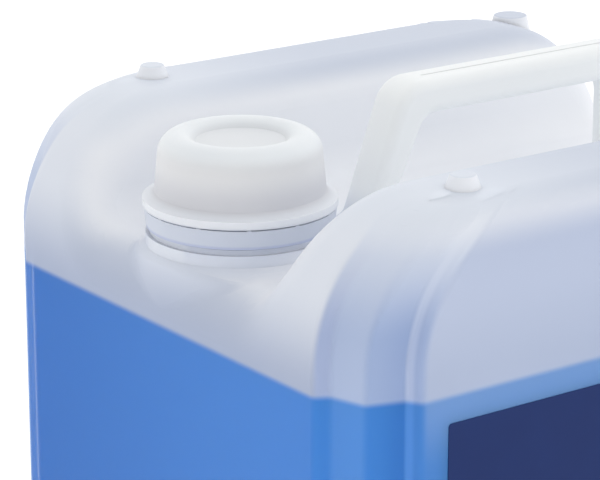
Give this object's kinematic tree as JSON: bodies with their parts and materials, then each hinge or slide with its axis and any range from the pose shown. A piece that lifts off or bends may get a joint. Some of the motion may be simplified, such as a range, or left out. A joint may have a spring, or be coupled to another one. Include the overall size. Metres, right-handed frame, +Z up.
{
  "type": "liquid canister",
  "caption": "Stackable translucent plastic canister with a moulded handle, screw cap on a threaded neck, tamper ring and a plain label, part filled with blue cleaning concentrate.",
  "frame": {"origin": "centre of the can's plan, on the plane that it stands on", "axes": "+Z up, -Y out of the label face, -X towards the end with the neck"},
  "size_m": [0.2861, 0.2565, 0.385],
  "materials": {
    "natural_plastic": "milky translucent blow-moulded polyethylene",
    "cap_plastic": "satin injection-moulded",
    "seal_foam": "soft foam",
    "concentrate": "clear blue liquid",
    "label_film": "satin film"
  },
  "bodies": {
    "canister": {"canister_body": "natural_plastic", "tamper_ring": "cap_plastic", "label": "label_film", "liquid": "concentrate"},
    "seal": {"seal_disc": "seal_foam"},
    "cap": {"screw_cap": "cap_plastic"}
  },
  "joints": [
    {"name": "cap_lift", "type": "slide", "parent": "canister", "child": "seal", "axis": [0, 0, 1], "range_m": [0, 0.0151]},
    {"name": "cap_turn", "type": "hinge", "parent": "seal", "child": "cap", "pos_m": [-0.1044, 0, 0.3474], "axis": [0, 0, 1], "range_deg": [0, 900]}
  ],
  "couplings": [
    {"joint": "cap_lift", "follows": "cap_turn", "m_per_rad": 0.00095493}
  ]
}
